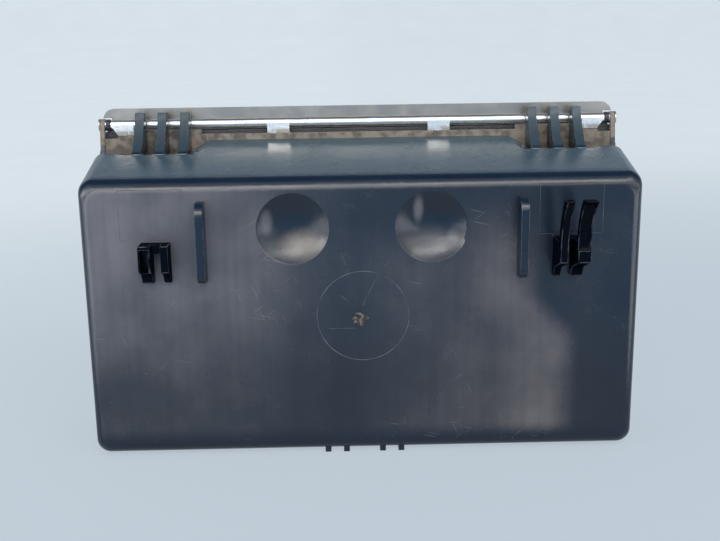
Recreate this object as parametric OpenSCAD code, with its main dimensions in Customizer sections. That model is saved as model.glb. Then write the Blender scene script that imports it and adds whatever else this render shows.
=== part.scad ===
// Recessed vehicle ashtray: a moulded tub with a bright hinge strip and a flap lid.
// The tub stands on its feet as it is mounted: mouth towards +Y, hinge strip on top, back face towards -Y.

/* [Tub] */
// Width of the back face
face_w = 133; // [115:1:147]
// Height of the back face
face_h = 67.5; // [65:0.5:74]
// Depth from the back face to the mouth
tub_d = 28; // [26:1:34]
// Wall thickness of the moulding
wall = 2.2; // [1.8:0.1:2.5]
// Corner radius of the back face's outline
corner_r = 3.3; // [2.8:0.1:5]
// Rounding along the back face's edge
edge_r = 2.6; // [1.4:0.1:3]
// How far each side wall leans out at the mouth
side_flare = 0; // [0:0.1:0.6]
// How far the top wall rises at the mouth
top_rise = 7.3; // [6.5:0.1:8]
// How far the bottom wall drops at the mouth
bottom_drop = 0.6; // [0.2:0.1:0.6]
// Height of the standing feet under the back face
foot_h = 1; // [1:0.1:2]
// Width of each small foot
foot_w = 1.5; // [1:0.1:3]
// Length of each small foot along the depth
foot_len = 3; // [2:0.1:5]
// Distance of the inner small feet from the middle
foot_x = 4.5; // [3:0.1:8]
// Distance from an inner small foot to the outer one
foot_pitch = 4.6; // [3.5:0.1:8]
// Thickness of the long foot under the mouth
sill_t = 2.5; // [2:0.1:4]

/* [Stub-out domes] */
// Radius of each dimple at the back face
dome_r = 8.7; // [6:0.1:10]
// Depth of each dimple
dome_depth = 3; // [2:0.1:4]
// Distance of each dimple from the middle
dome_x = 16.5; // [14:0.5:20]
// Height of the dimples above the bottom of the back face
dome_up = 56; // [50:0.1:56]

/* [Rim] */
// Length of the pockets along the depth
pocket_len = 11.2; // [9.5:0.1:12]
// How deep the pockets' floor lies below the top wall at their front edge
pocket_sink = 0.6; // [0.2:0.1:0.9]
// Thickness of the upright rim behind the pockets
rim_t = 1.4; // [1.2:0.1:1.8]
// Height of the lip above the top wall
lip_h = 1.1; // [0.8:0.1:1.3]
// How far the lip's rounded end runs before it meets the pocket's floor
scoop_run = 8; // [6:0.5:10]
// Width of the pit beside each innermost fin
pit_w = 2.6; // [1.6:0.1:3]
// Number of fins at each end
fin_count = 3; // [1:1:3]
// Distance of the outermost fin from the mouth's side
fin_in = 11.2; // [10:0.1:12.5]
// Distance from one fin to the next
fin_pitch = 5.65; // [4.5:0.05:6]
// Thickness of each fin
fin_t = 2.3; // [1.6:0.1:2.6]
// Height of each fin above the top wall beside its foot
fin_h = 9.8; // [9:0.1:10]
// Length of each fin's tip along the depth
fin_tip = 2.6; // [2:0.1:3.5]
// Height of each fin's upright toe above the pocket's floor
fin_toe = 0.8; // [0.4:0.1:1.5]
// How far each fin's front edge curves in
fin_sag = 0.9; // [0.4:0.1:1.4]
// Distance of each pocket's slanted corner from the rim
pocket_slant = 3; // [2:0.1:5]

/* [Guide ribs and hooks] */
// Distance of each guide rib from the middle
rib_x = 37.7; // [34:0.1:40]
// Thickness of a guide rib
rib_t = 2; // [1.5:0.1:3]
// Length of a guide rib
rib_len = 19.2; // [14:0.2:22]
// Height of a guide rib above the back face
rib_h = 5; // [3:0.5:7]
// Height of the ribs' and hooks' lower ends above the bottom of the back face
rib_up = 43.8; // [38:0.1:44]
// Distance of each hook's inner blade from the middle
hook_x = 45.1; // [44:0.1:46.5]
// Width over both blades of a hook
hook_w = 7; // [6.5:0.1:8]
// Thickness of a hook's inner blade
blade_t = 1.8; // [1.4:0.1:2.2]
// Thickness of a hook's outer blade
arm_w = 2.9; // [2.2:0.1:3.2]
// Reach of a hook behind the back face
hook_reach = 15; // [14:0.5:17]
// Rise of a hook from its foot to its tip
hook_rise = 20; // [18:0.1:21]
// Length of a hook's root on the back face
root_h = 9.6; // [8:0.1:11]
// Reach of a hook's root behind the back face
root_reach = 9.2; // [8.4:0.1:10]
// Thickness of the springy arm above the root
arm_t = 2.4; // [1.8:0.1:3]
// Depth of the recess along the outer blade
recess_d = 0.8; // [0.4:0.1:1.2]
// Width of the lips around the recess
recess_lip = 0.5; // [0.4:0.1:0.8]
// Height of the broken hook's stub above the back face
stub_d = 5; // [3:0.5:7]

/* [Hinge] */
// Radius of the hinge rod
rod_r = 0.8; // [0.6:0.05:1]
// Height of the hinge axis above the top wall at the mouth
axis_up = 3.6; // [3.5:0.1:4.5]
// Distance of the hinge axis in front of the mouth
axis_out = 0.6; // [0.4:0.1:1]
// Running clearance around the hinge rod
run_gap = 0.05; // [0.02:0.01:0.08]
// Clearance between a pressed or riveted pin and its hole
press_gap = 0.02; // [0.01:0.01:0.03]
// Clearance between pieces that pass each other
pass_gap = 0.15; // [0.1:0.01:0.2]
// Thickness of the strip's sheet metal
sheet_t = 0.4; // [0.3:0.05:0.5]
// Height of the strip's flange above the hinge axis
flange_h = 4.1; // [3.4:0.1:6]
// Corner radius of the strip's flange
flange_r = 3; // [2:0.1:3.3]
// Distance of the flange's ends inside the ears' outer sides
flange_in = 0.4; // [0:0.1:2]
// Height of the strip's turned-down aprons beyond the fins
apron_h = 1.4; // [1:0.1:1.8]
// How far each apron's outer end slants in
apron_cut = 1.8; // [1:0.1:2.5]
// Width of each bent tab
tab_w = 5.7; // [4:0.1:8]
// Distance of each tab from the middle
tab_x = 20.6; // [14:0.2:30]
// Length of each tab's bent foot inside the tub
tab_foot = 2.5; // [2:0.1:3]
// Radius of the ears' round ends
ear_r = 1.6; // [1.5:0.1:2]
// Thickness of each ear
ear_t = 1.2; // [1.2:0.1:2]
// How far the ears lie inside the mouth's sides
ear_sunk = 0.4; // [0.4:0.1:0.8]
// How far the rim drops between the aprons and the ears
rim_drop = 0.6; // [0.3:0.1:1]
// Thickness of each ear's stalk
stalk_t = 1.2; // [1:0.1:1.6]
// Thickness of a push-on rod cap
cap_t = 0.4; // [0.3:0.1:0.4]
// Thickness of a wave washer
washer_t = 0.3; // [0.2:0.05:0.4]
// Thickness of the lid's hinge eyes
eye_t = 0.9; // [0.8:0.1:1.1]
// Gap between the rolled edge's ends and the lid's eyes
roll_gap = 0.2; // [0.2:0.1:1]

/* [Lid] */
// Thickness of the lid plate
lid_t = 2.4; // [2.2:0.1:3]
// Gap between the closed lid and the mouth
lid_gap = 0.4; // [0.3:0.05:0.6]
// Distance of the lid's sides inside the mouth's sides
lid_in = 0; // [0:0.05:0.2]
// Corner radius of the lid plate
lid_r = 2.8; // [2:0.1:4]
// Bevel around the lid's front
lid_bevel = 0.6; // [0.4:0.1:1]
// Clearance of the lid's edge above the ground
lid_lift = 0.7; // [0.6:0.1:1.5]
// Depth of the locating rim on the back of the lid
spigot_d = 2; // [1.5:0.1:3]
// Thickness of the locating rim
spigot_t = 1.2; // [1:0.1:1.6]
// Clearance between the locating rim and the mouth
spigot_gap = 0.9; // [0.6:0.1:1.4]
// Number of grooves across the lid's front
groove_count = 9; // [3:1:10]
// Distance from one groove to the next
groove_pitch = 5.4; // [3:0.1:5.6]
// Radius of each groove
groove_r = 1; // [0.8:0.1:1.2]
// Depth of each groove
groove_d = 0.5; // [0.3:0.1:0.7]
// Height of the lowest groove above the pull strip
groove_up = 12; // [9:0.5:13]
// Height of the pull strip's front
pull_h = 6.6; // [5:0.1:9]
// Reach of the pull strip's finger lip
pull_reach = 2.8; // [2:0.1:4]
// Radius of a rubber buffer
buffer_r = 1; // [0.8:0.05:1.1]
// Distance of the buffers from the lid's bottom and from the pockets
buffer_in = 12; // [9:0.5:16]

/* [Catch and cigarette rest] */
// Width of the catch clip
clip_w = 12; // [9:0.5:16]
// Distance of the catch clip's inner end from the mouth
clip_in = 13; // [12:0.5:15]
// Length of the catch clip's upper leaf
leaf_len = 3.6; // [3:0.1:4]
// Thickness of the spring steel
clip_t = 0.4; // [0.3:0.05:0.5]
// Radius of the clip's bend
clip_bend = 1; // [0.8:0.05:1.2]
// Gap between the catch clip and the lid's tongue
clip_gap = 0.35; // [0.3:0.05:0.5]
// Length of the lid's tongue
tongue_len = 5.6; // [4.5:0.1:6]
// Thickness of the lid's tongue
tongue_t = 2; // [1.5:0.1:2.5]
// Shank radius of the rivets
rivet_r = 1.2; // [1:0.1:1.4]
// How far a rivet's head stands out around its shank
head_over = 0.9; // [0.6:0.1:1.1]
// Height of a rivet's head
head_h = 0.6; // [0.5:0.1:0.6]
// Half length of the cigarette rest
rest_half = 32; // [29:1:40]
// Thickness of the cigarette rest's sheet
rest_t = 0.6; // [0.4:0.1:0.8]
// Height of the cigarette rest
rest_h = 13; // [10:0.5:16]
// Length of the cigarette rest's foot
rest_foot = 7; // [6:0.5:8]
// Gap between the cigarette rest and the catch clip
rest_gap = 2; // [1.5:0.1:3]
// Radius of the notches for cigarettes
notch_r = 4.2; // [3.8:0.1:4.5]
// Distance of each notch from the middle
notch_x = 13; // [10:0.5:16]
// Distance of each rest rivet from the middle
rest_rivet_x = 25; // [23:0.5:26]

/* [Hidden] */
// Thickness of the slices that a hull joins
skin = 0.01;
// How far a cut runs past what it cuts
past = 1;
fine = 96;
round_fn = 48;
hull_fn = 32;
edge_step = 22.5;

// Widths from the middle
mouth_half = face_w / 2 + side_flare;
ear_out = mouth_half - ear_sunk;
ear_in = ear_out - ear_t;
eye_out = ear_in - washer_t - 2 * run_gap;
eye_in = eye_out - eye_t;
roll_half = eye_in - roll_gap;
flange_half = ear_out - flange_in;
fin_out = mouth_half - fin_in;
fin_first = fin_out - (fin_count - 1) * fin_pitch;
channel_w = fin_pitch - fin_t;
fin_side = fin_first - fin_t / 2;
pocket_x = fin_side - pit_w;
scoop_x = fin_side - scoop_run;
apron_x = fin_out + fin_t;
sill_half = face_w / 2 - corner_r - wall;
lid_half = mouth_half - lid_in;
hook_spans = [[hook_x, hook_x + blade_t], [hook_x + hook_w - arm_w, hook_x + hook_w]];

// Heights above the ground
face_low = foot_h;
face_high = face_low + face_h;
mouth_low = face_low - bottom_drop;
mouth_high = face_high + top_rise;
fin_z = mouth_high - top_rise * pocket_len / tub_d;
pocket_z = fin_z - pocket_sink;
axis_z = mouth_high + axis_up;
roll_in = rod_r + run_gap;
roll_out = roll_in + sheet_t;
plate_z = axis_z - roll_out - 2 * run_gap;
dome_z = face_low + dome_up;
rib_z = face_low + rib_up;
arm_up = 0.8 * root_h;

// Depths from the back face
axis_y = tub_d + axis_out;
rim_y = tub_d - rim_t;
tab_y = axis_y - roll_out;
fin_y = tab_y - 2 * pass_gap;
pocket_y = tub_d - pocket_len;
foot_y = 1;
lid_y = tub_d + lid_gap;
lid_front = lid_y + lid_t;
pull_front = lid_front + sheet_t + pull_reach;

// The box around the whole part is centred on Y = 0
back_y = (hook_reach - pull_front) / 2;

// Lid
lid_top = axis_z - roll_out - pass_gap;
eye_r = ear_r - pass_gap;
web_t = 1.6;
peg_r = 0.6 * buffer_r;
peg_len = 1.3;

// Catch and rest
pad_z = face_low + wall + pass_gap;
pad_over = 0.7;
clip_y = tub_d - clip_in;
clip_front = tub_d - spigot_d - clip_bend - 2 * clip_t;
clip_rivet_y = clip_y + leaf_len;
clip_top = pad_z + 2 * clip_bend;
tongue_z = clip_top + clip_t + clip_gap;
tongue_w = 0.7 * clip_w;
rest_y = clip_y - rest_gap;
rest_rivet_y = rest_y - rest_foot / 2;
head_r = rivet_r + head_over;
head_sink = pass_gap;

function half_w_at(y) = face_w / 2 + side_flare * y / tub_d;
function low_at(y) = face_low - bottom_drop * y / tub_d;
function high_at(y) = face_high + top_rise * y / tub_d;
function tail_at(y) = low_at(y) + head_sink - head_h;

// Radius of the arc that rises by this much over half its chord.
function arc_radius(half_chord, rise) = (half_chord * half_chord + rise * rise) / (2 * rise);

// Moves a sub-part from depths measured at the back face to the part's own frame.
module seat() {
    translate([0, back_y, 0]) children();
}

// Draws its children at +X and their mirror image at -X.
module pair() {
    children();
    mirror([1, 0, 0]) children();
}

// A shape drawn as (depth, height) and given a width along X, from x0 to x1.
module across(x0, x1) {
    translate([x0, 0, 0]) rotate([90, 0, 90]) linear_extrude(x1 - x0) children();
}

// A shape drawn as (x, height) and given a depth, from y0 to y1.
module inward(y0, y1) {
    translate([0, y1, 0]) rotate([90, 0, 0]) linear_extrude(y1 - y0) children();
}

// A cylinder along X from x0 to x1 at a depth and a height.
module along_x(x0, x1, y, z, r) {
    translate([x0, y, z]) rotate([0, 90, 0]) cylinder(r = r, h = x1 - x0, $fn = round_fn);
}

// A cylinder along Y from y0 to y1.
module along_y(y0, y1, x, z, r) {
    translate([x, y0, z]) rotate([-90, 0, 0]) cylinder(r = r, h = y1 - y0, $fn = round_fn);
}

// A cylinder along Z from z0 to z1.
module along_z(z0, z1, x, y, r) {
    translate([x, y, z0]) cylinder(r = r, h = z1 - z0, $fn = round_fn);
}

// A box between two corners.
module block(x0, x1, y0, y1, z0, z1) {
    translate([x0, y0, z0]) cube([x1 - x0, y1 - y0, z1 - z0]);
}

// A box across the whole width, as far on one side of the middle as on the other.
module bar(half, y0, y1, z0, z1) {
    block(-half, half, y0, y1, z0, z1);
}

// Four thin discs at the corners of the tub's section at depth y, drawn in by inset.
module section_corners(y, inset, r) {
    pair() for (z = [low_at(y) + inset + r, high_at(y) - inset - r])
        translate([half_w_at(y) - inset - r, y, z])
            rotate([-90, 0, 0]) cylinder(r = r, h = skin, $fn = hull_fn);
}

module tub_outside() {
    hull() {
        for (a = [0 : edge_step : 90])
            section_corners(edge_r * (1 - sin(a)), edge_r * (1 - cos(a)), corner_r);
        section_corners(tub_d - skin, 0, corner_r);
    }
}

module tub_inside() {
    difference() {
        hull() {
            section_corners(wall, wall, corner_r - wall / 2);
            section_corners(tub_d + past, wall, corner_r - wall / 2);
        }
        pair() {
            dome_ball(wall);
            block(pocket_x - wall, face_w, pocket_y - wall, tub_d + 2 * past, pocket_z - wall, face_w);
        }
    }
}

// The ball whose cap is a dimple outside and, grown by the wall, a stub-out dome inside.
module dome_ball(grow) {
    ball_r = arc_radius(dome_r, dome_depth);
    translate([dome_x, dome_depth - ball_r, dome_z]) sphere(r = ball_r + grow, $fn = fine);
}

// The pocket around the fins: round front ends between them, and the lip's end runs down into it.
module pocket() {
    scoop_r = arc_radius(scoop_run, mouth_high - pocket_z);
    channel_y = pocket_y + channel_w / 2;
    scoop_y = pocket_y + pit_w;
    block(fin_side, face_w, channel_y, rim_y, pocket_z, face_w);
    translate([0, 0, pocket_z]) linear_extrude(height = face_w)
        polygon([[fin_out, pocket_y], [apron_x, pocket_y], [mouth_half, rim_y - pocket_slant],
                 [face_w, rim_y - pocket_slant], [face_w, rim_y], [fin_out, rim_y]]);
    if (fin_count > 1)
        for (i = [1 : fin_count - 1])
            along_z(pocket_z, face_w, fin_first + (i - 0.5) * fin_pitch, channel_y, channel_w / 2);
    along_z(pocket_z, face_w, fin_side - pit_w / 2, pocket_y + pit_w / 2, pit_w / 2);
    block(pocket_x, fin_side, pocket_y + pit_w / 2, scoop_y, pocket_z, face_w);
    difference() {
        block(scoop_x, fin_side + past, scoop_y, rim_y, pocket_z, face_w);
        translate([scoop_x, 0, mouth_high - scoop_r])
            rotate([-90, 0, 0]) cylinder(r = scoop_r, h = tub_d, $fn = fine);
    }
}

// A fin: an upright buttress whose front edge curves in from its toe to its tip.
module fin(x) {
    toe = [pocket_y, pocket_z + fin_toe];
    tip = [fin_y - fin_tip, fin_z + fin_h];
    run = tip - toe;
    curve_r = arc_radius(norm(run) / 2, fin_sag);
    middle = (toe + tip) / 2 + (curve_r - fin_sag) * [-run[1], run[0]] / norm(run);
    difference() {
        across(x - fin_t / 2, x + fin_t / 2)
            polygon([[fin_y, pocket_z - wall / 2], [pocket_y, pocket_z - wall / 2], toe, tip, [fin_y, tip[1]]]);
        along_x(x - fin_t, x + fin_t, middle[0], middle[1], curve_r);
    }
}

// An ear with its stalk on the rim's outer end.
module ear() {
    along_x(ear_in, ear_out, axis_y, axis_z, ear_r);
    across(ear_out - stalk_t, ear_out)
        polygon([[rim_y - rim_t, pocket_z - wall], [tub_d, pocket_z - wall], [tub_d, axis_z - ear_r],
                 [axis_y + ear_r / 2, axis_z - ear_r / 2], [axis_y - ear_r, axis_z]]);
}

// The upright rim: a low lip in the middle, plates behind the fins and lower ones under the strip's aprons.
module rim() {
    bar(fin_first, rim_y, tub_d, mouth_high - wall, mouth_high + lip_h);
    pair() {
        block(pocket_x, apron_x - pass_gap, rim_y, tub_d, pocket_z - wall, plate_z);
        block(pocket_x, roll_half - apron_cut, rim_y, tub_d, pocket_z - wall, plate_z - apron_h);
        block(pocket_x, ear_out, rim_y, tub_d, pocket_z - wall, plate_z - apron_h - rim_drop);
    }
}

module guide_rib() {
    tip_r = 0.6 * rib_h;
    intersection() {
        block(rib_x - rib_t / 2, rib_x + rib_t / 2, -rib_h, wall / 2, rib_z, rib_z + rib_len);
        hull() {
            for (z = [rib_z + tip_r, rib_z + rib_len - tip_r])
                along_x(rib_x - rib_t, rib_x + rib_t, tip_r - rib_h, z, tip_r);
            block(rib_x - rib_t, rib_x + rib_t, 0, wall / 2, rib_z, rib_z + rib_len);
        }
    }
}

// A hook's root: a foot against the face, a sloping underside and an upright front.
module root_outline() {
    translate([0, rib_z])
        polygon([[wall / 2, 0], [-0.13 * root_reach, 0], [-0.3 * root_reach, 0.25 * root_h],
                 [-root_reach, 0.5 * root_h], [-root_reach, arm_up], [arm_t - root_reach, root_h],
                 [wall / 2, root_h]]);
}

// A hook's springy arm between two depths of its own: it rises from the root and curves away from the face.
module arm_outline(from_front, to_front, rise) {
    curve_r = arc_radius(hook_rise - arm_up, hook_reach - root_reach);
    translate([-root_reach - curve_r, rib_z + arm_up]) intersection() {
        difference() {
            circle(r = curve_r + to_front, $fn = 2 * fine);
            circle(r = curve_r + from_front, $fn = 2 * fine);
        }
        translate([0, -skin]) square([2 * curve_r, rise - arm_up + skin]);
    }
}

// A whole hook on the +X side: a thin inner blade and a broad outer one with a recess along it.
module hook() {
    for (span = hook_spans)
        across(span[0], span[1]) {
            root_outline();
            arm_outline(0, arm_t, hook_rise);
        }
    block(hook_x, hook_x + hook_w, -root_reach / 3, wall / 2, rib_z + root_h - wall, rib_z + root_h);
}

module hook_recess() {
    across(hook_spans[1][0] - recess_lip, hook_spans[1][1] - recess_lip)
        arm_outline(-recess_d, recess_d, hook_rise - recess_lip);
}

// The stub left where the other hook has broken off, with the outer blade's hollow root open.
module hook_stub() {
    difference() {
        for (span = hook_spans)
            across(span[0], span[1]) intersection() {
                root_outline();
                translate([-stub_d, rib_z]) square([stub_d + wall, root_h]);
            }
        block(hook_spans[1][0] + recess_lip, hook_spans[1][1] - recess_lip, -root_reach, -recess_lip,
              rib_z + root_h / 3, rib_z + root_h - 2 * recess_lip);
    }
    block(hook_x, hook_x + hook_w, -root_reach / 3, wall / 2, rib_z + root_h - wall, rib_z + root_h);
}

// The raised pad on the bottom wall under what a rivet holds.
module rivet_pad(x, half, y0, y1) {
    block(x - half, x + half, y0 - pad_over, y1 + pad_over, mouth_low + wall / 2, pad_z);
}

// A rivet's hole, with a shallow seat for its tail under the bottom wall.
module rivet_hole(x, y) {
    along_z(0, 2 * pad_z, x, y, rivet_r + press_gap);
    along_z(-past, tail_at(y) + head_h, x, y, head_r + 2 * pass_gap);
}

module feet() {
    pair() for (x = [foot_x, foot_x + foot_pitch])
        block(x - foot_w / 2, x + foot_w / 2, foot_y, foot_y + foot_len, 0, face_low + wall / 2);
    bar(sill_half, tub_d - sill_t, tub_d, 0, mouth_low + wall / 2);
}

module tub() {
    color([0.09, 0.10, 0.13]) seat() difference() {
        union() {
            difference() {
                union() {
                    tub_outside();
                    rim();
                }
                tub_inside();
                pair() {
                    pocket();
                    dome_ball(0);
                }
            }
            pair() {
                for (i = [0 : fin_count - 1]) fin(fin_first + i * fin_pitch);
                ear();
                guide_rib();
                rivet_pad(rest_rivet_x, rest_foot / 2, rest_y - rest_foot, rest_y);
            }
            hook();
            mirror([1, 0, 0]) hook_stub();
            feet();
            rivet_pad(0, clip_w / 2 + pad_over, clip_y, clip_y + 2 * leaf_len);
        }
        hook_recess();
        bar_bore(rod_r + press_gap);
        rivet_hole(0, clip_rivet_y);
        pair() {
            rivet_hole(rest_rivet_x, rest_rivet_y);
            block(tab_x - tab_w / 2 - pass_gap, tab_x + tab_w / 2 + pass_gap, tab_y - pass_gap,
                  tab_y + sheet_t + pass_gap, mouth_high - 2 * wall, axis_z);
        }
    }
}

// A bore on the hinge axis through everything.
module bar_bore(r) {
    along_x(-face_w, face_w, axis_y, axis_z, r);
}

// The strip's flange: round upper corners, and a notch over each ear and lid eye.
module flange_outline() {
    difference() {
        intersection() {
            union() {
                translate([-flange_half, axis_z]) square([2 * flange_half, flange_h - flange_r]);
                translate([flange_r - flange_half, axis_z]) square([2 * (flange_half - flange_r), flange_h]);
                pair() translate([flange_half - flange_r, axis_z + flange_h - flange_r])
                    circle(r = flange_r, $fn = round_fn);
            }
            translate([-flange_half, axis_z]) square([2 * flange_half, flange_h]);
        }
        pair() translate([roll_half, axis_z - past]) square([face_w, ear_r + pass_gap + past]);
    }
}

module trim_strip() {
    flange_y = axis_y + roll_out - sheet_t;
    tab_z = high_at(tab_y - tab_foot) - wall - sheet_t - pass_gap;
    color([0.86, 0.86, 0.87]) seat() difference() {
        union() {
            along_x(-roll_half, roll_half, axis_y, axis_z, roll_out);
            inward(flange_y, flange_y + sheet_t) flange_outline();
            pair() {
                inward(tab_y, tab_y + sheet_t)
                    polygon([[apron_x, axis_z], [apron_x, axis_z - roll_out - apron_h],
                             [roll_half - apron_cut, axis_z - roll_out - apron_h], [roll_half, axis_z]]);
                block(tab_x - tab_w / 2, tab_x + tab_w / 2, tab_y, tab_y + sheet_t, tab_z, axis_z);
                block(tab_x - tab_w / 2, tab_x + tab_w / 2, tab_y - tab_foot, tab_y + sheet_t,
                      tab_z, tab_z + sheet_t);
            }
        }
        bar_bore(roll_in);
    }
}

module hinge_rod() {
    color([0.62, 0.63, 0.65]) seat()
        along_x(-ear_out - cap_t, ear_out + cap_t, axis_y, axis_z, rod_r);
}

module rod_caps() {
    color([0.55, 0.56, 0.58]) seat() difference() {
        pair() along_x(ear_out, ear_out + cap_t, axis_y, axis_z, ear_r);
        bar_bore(rod_r + press_gap);
    }
}

module wave_washers() {
    color([0.7, 0.7, 0.68]) seat() difference() {
        pair() along_x(eye_out + run_gap, eye_out + run_gap + washer_t, axis_y, axis_z, eye_r);
        bar_bore(roll_in);
    }
}

// Four discs at the lid's corners from depth y0 to y1, used for its outline.
module lid_corners(y0, y1, inset) {
    pair() for (z = [lid_lift + lid_r, lid_top - lid_r])
        translate([lid_half - lid_r, y0, z])
            rotate([-90, 0, 0]) cylinder(r = lid_r - inset, h = y1 - y0, $fn = hull_fn);
}

module lid_plate() {
    hull() {
        lid_corners(lid_y, lid_front - lid_bevel, 0);
        lid_corners(lid_front - skin, lid_front, lid_bevel);
    }
}

// A block that fills the mouth up to a clearance, from depth y0 to the lid's back.
module mouth_block(inset, y0) {
    bar(mouth_half - wall - inset, y0, lid_y + skin, mouth_low + wall + inset, pocket_z - wall - inset);
}

// Draws its children in front of the tub's side walls, where the buffers and their sockets are.
module at_buffers() {
    pair() for (z = [lid_lift + buffer_in, pocket_z - buffer_in])
        translate([mouth_half - wall / 2, 0, z]) children();
}

module lid() {
    groove_half = lid_half - 2 * lid_r;
    color([0.10, 0.10, 0.11]) seat() difference() {
        union() {
            lid_plate();
            difference() {
                mouth_block(spigot_gap, tub_d - spigot_d);
                mouth_block(spigot_gap + spigot_t, tub_d - spigot_d - past);
            }
            pair() {
                along_x(eye_in, eye_out, axis_y, axis_z, eye_r);
                block(eye_in, eye_out, lid_y, lid_y + web_t, lid_top - lid_r, axis_z);
            }
            bar(tongue_w / 2, lid_y - tongue_len, lid_y + skin, tongue_z, tongue_z + tongue_t);
        }
        bar_bore(roll_in);
        along_x(run_gap - eye_in, eye_in - run_gap, axis_y, axis_z, roll_out + 2 * pass_gap);
        pair() along_x(eye_out, face_w, axis_y, axis_z, ear_r + 2 * pass_gap);
        for (i = [0 : groove_count - 1])
            along_x(-groove_half, groove_half, lid_front + groove_r - groove_d,
                    lid_lift + pull_h + groove_up + i * groove_pitch, groove_r);
        at_buffers() along_y(lid_y - past, lid_y + peg_len + press_gap, 0, 0, peg_r);
    }
}

module lid_pull() {
    lip_z = lid_lift + pull_h;
    outer = lid_front + sheet_t;
    color([0.86, 0.86, 0.87]) seat() across(lid_r - lid_half, lid_half - lid_r)
        polygon([[lid_y + sheet_t, lid_lift - sheet_t], [outer, lid_lift - sheet_t], [outer, lip_z - sheet_t],
                 [pull_front - sheet_t, lip_z - sheet_t], [pull_front - sheet_t, lip_z - 3 * sheet_t],
                 [pull_front, lip_z - 3 * sheet_t], [pull_front, lip_z], [lid_front, lip_z],
                 [lid_front, lid_lift], [lid_y + sheet_t, lid_lift]]);
}

module lid_buffers() {
    color([0.05, 0.05, 0.05]) seat() at_buffers() {
        along_y(tub_d + run_gap, lid_y, 0, 0, buffer_r);
        along_y(lid_y - skin, lid_y + peg_len, 0, 0, peg_r - press_gap);
    }
}

// The clip: a riveted lower leaf, a half-round bend at the mouth's side and an upper leaf.
module catch_clip() {
    bend_out = clip_bend + clip_t / 2;
    color([0.7, 0.7, 0.68]) seat() difference() {
        union() {
            bar(clip_w / 2, clip_y, clip_front, pad_z, pad_z + clip_t);
            bar(clip_w / 2, clip_front - leaf_len, clip_front, clip_top, clip_top + clip_t);
            intersection() {
                difference() {
                    along_x(-clip_w / 2, clip_w / 2, clip_front, pad_z + bend_out, bend_out);
                    along_x(-clip_w, clip_w, clip_front, pad_z + bend_out, bend_out - clip_t);
                }
                bar(clip_w, clip_front, clip_front + 2 * bend_out, pad_z, clip_top + clip_t);
            }
        }
        along_z(0, clip_top, 0, clip_rivet_y, rivet_r + press_gap);
    }
}

// A rivet through the bottom wall, with its head on what it holds.
module rivet(x, y, head_z) {
    along_z(tail_at(y), head_z + skin, x, y, rivet_r);
    translate([x, y, head_z]) cylinder(r1 = head_r, r2 = 0.6 * head_r, h = head_h, $fn = round_fn);
    along_z(tail_at(y), tail_at(y) + head_h, x, y, head_r);
}

module catch_rivet() {
    color([0.75, 0.75, 0.74]) seat() rivet(0, clip_rivet_y, pad_z + clip_t);
}

module cigarette_rest() {
    color([0.72, 0.72, 0.7]) seat() difference() {
        union() {
            bar(rest_half, rest_y - rest_foot, rest_y, pad_z, pad_z + rest_t);
            bar(rest_half, rest_y - rest_t, rest_y, pad_z, pad_z + rest_h);
        }
        pair() {
            along_y(rest_y - rest_foot, rest_y + past, notch_x, pad_z + rest_h, notch_r);
            along_z(0, 2 * pad_z, rest_rivet_x, rest_rivet_y, rivet_r + press_gap);
        }
    }
}

module rest_rivets() {
    color([0.75, 0.75, 0.74]) seat() pair() rivet(rest_rivet_x, rest_rivet_y, pad_z + rest_t);
}

tub();
trim_strip();
hinge_rod();
rod_caps();
wave_washers();
lid();
lid_pull();
lid_buffers();
catch_clip();
catch_rivet();
cigarette_rest();
rest_rivets();
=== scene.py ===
"""A recessed vehicle ashtray, seen from behind and a little above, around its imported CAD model."""

import math

import bmesh
import bpy
import numpy as np
from mathutils import Matrix, Vector
from mathutils.bvhtree import BVHTree


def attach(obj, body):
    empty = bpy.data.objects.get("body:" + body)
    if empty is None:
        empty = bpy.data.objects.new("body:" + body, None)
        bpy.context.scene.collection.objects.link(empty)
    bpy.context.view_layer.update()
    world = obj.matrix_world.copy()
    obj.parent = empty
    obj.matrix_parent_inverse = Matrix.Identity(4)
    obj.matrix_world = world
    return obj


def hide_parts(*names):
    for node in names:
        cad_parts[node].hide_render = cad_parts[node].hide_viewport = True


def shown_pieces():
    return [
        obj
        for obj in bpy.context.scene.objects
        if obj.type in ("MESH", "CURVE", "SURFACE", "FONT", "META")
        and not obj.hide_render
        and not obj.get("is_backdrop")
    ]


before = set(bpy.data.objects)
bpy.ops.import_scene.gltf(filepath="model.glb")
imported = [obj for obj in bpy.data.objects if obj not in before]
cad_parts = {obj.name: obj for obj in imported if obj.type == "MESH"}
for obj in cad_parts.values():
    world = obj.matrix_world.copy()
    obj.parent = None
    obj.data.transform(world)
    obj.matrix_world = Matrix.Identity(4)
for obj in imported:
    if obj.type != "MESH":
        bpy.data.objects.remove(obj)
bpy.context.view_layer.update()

MM = 0.001
bpy.context.scene.view_settings.view_transform = "Standard"

# ---------------------------------------------------------------------------------------------------------------------
# Camera and image points
# The photograph looks at the tub's back face from a little above and to the left of its middle, with a slight roll.
# The points are where things show in the photograph, in its own pixels.
# ---------------------------------------------------------------------------------------------------------------------
IMAGE_W, IMAGE_H = 720, 541
LONG_SIDE = max(IMAGE_W, IMAGE_H)
POINTS = {
    "left_edge": (75.8, 194.0),
    "right_edge": (642.8, 186.0),
    "top_edge": (598.0, 101.5),
    "bottom_edge": (110.0, 452.6),
    "dimple_left": (291.0, 229.0),
    "dimple_right": (431.1, 225.7),
    "gate_ring": (363.1, 316.0),
    "insert_outline_left": (150.5, 215.5),
    "tab_left": (279.0, 130.0),
    "tab_right": (439.0, 127.0),
    "rib_left": (202.0, 239.0),
    "rib_right": (521.0, 236.0),
    "hook_tip": (573.4, 203.5),
}
BACK_Y = -9.5 * MM
FACE_MID_Z = 35.3 * MM
camera_at = Vector((-4.75 * MM, BACK_Y - 231.2 * MM, FACE_MID_Z + 66.7 * MM))
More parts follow.
